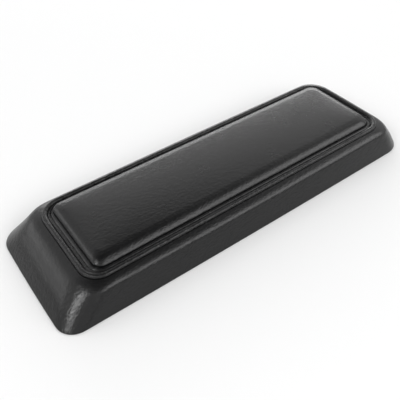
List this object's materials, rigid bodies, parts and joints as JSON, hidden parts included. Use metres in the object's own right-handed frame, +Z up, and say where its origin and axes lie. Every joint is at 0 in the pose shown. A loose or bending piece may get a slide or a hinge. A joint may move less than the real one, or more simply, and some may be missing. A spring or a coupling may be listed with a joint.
{
  "type": "chair armrest pad",
  "caption": "Long rectangular upholstered armrest pad: sloped vinyl skirt, raised welt around an inset crowned cushion, bolted on from below through its flat underside.",
  "frame": {"origin": "centre of the flat underside, on the plane that the pad rests on", "axes": "+X along the pad to its front end, which slopes less than the rear end; +Y across the pad; +Z up through the cushion"},
  "size_m": [0.2612, 0.0896, 0.024],
  "materials": {
    "skirt_vinyl": "satin, fine moulded leather grain",
    "welt_vinyl": "satin, fine moulded leather grain",
    "cushion_vinyl": "satin, fine moulded leather grain",
    "foam": "open-cell polyurethane foam",
    "piping_cord": "twisted filler cord",
    "plywood": "sanded, unfinished",
    "cover_plastic": "fine matte texture",
    "steel": "zinc plated"
  },
  "bodies": {
    "root": {"skirt_skin": "skirt_vinyl", "welt_cover": "welt_vinyl", "cushion_cover": "cushion_vinyl", "skirt_foam": "foam", "cushion_foam": "foam", "welt_cord": "piping_cord", "insert_board": "plywood", "core_board": "plywood", "bottom_cover": "cover_plastic", "mounting_t_nuts": "steel", "hem_staples": "steel", "rim_staples": "steel", "cushion_staples": "steel", "insert_screws": "steel", "cover_screws": "steel"}
  },
  "joints": []
}
